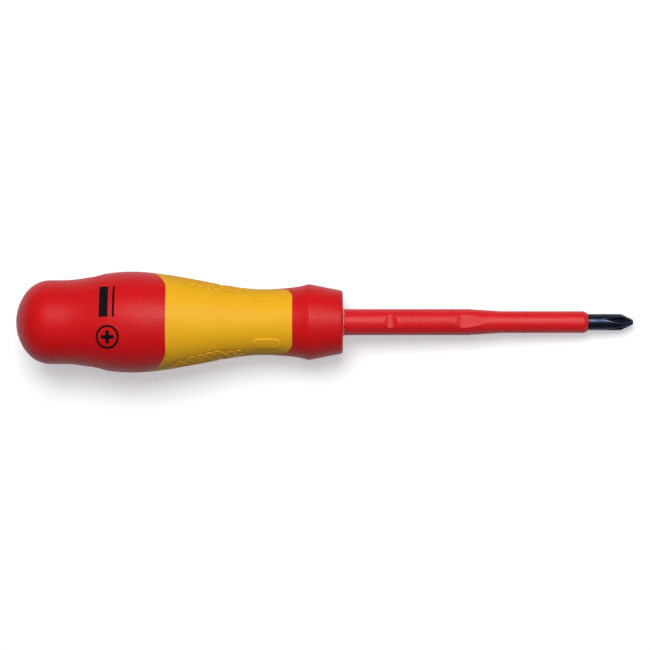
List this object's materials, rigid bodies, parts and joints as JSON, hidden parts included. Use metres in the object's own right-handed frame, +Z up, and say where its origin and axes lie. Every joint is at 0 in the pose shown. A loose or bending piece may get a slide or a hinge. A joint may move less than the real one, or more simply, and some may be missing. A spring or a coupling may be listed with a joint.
{
  "type": "insulated screwdriver",
  "caption": "Fixed-blade cross-recess screwdriver with a red insulated blade and handle, a yellow soft grip with textured side windows, and a hanging hole in the butt.",
  "frame": {"origin": "on the tool's axis, where the sleeved blade leaves the front face of the handle", "axes": "+X along the blade to the tip, +Z up out of the face that carries the print, +Y to its left"},
  "size_m": [0.17, 0.0278, 0.0278],
  "materials": {
    "blade_steel": "blackened chrome-vanadium steel",
    "sleeve_plastic": "moulded red insulation",
    "core_plastic": "natural hard plastic",
    "body_plastic": "moulded red plastic",
    "grip_rubber": "soft yellow overmould"
  },
  "bodies": {
    "root": {"blade": "blade_steel", "blade_sleeve": "sleeve_plastic", "handle_core": "core_plastic", "handle_body": "body_plastic", "grip_sleeve": "grip_rubber"}
  },
  "joints": []
}
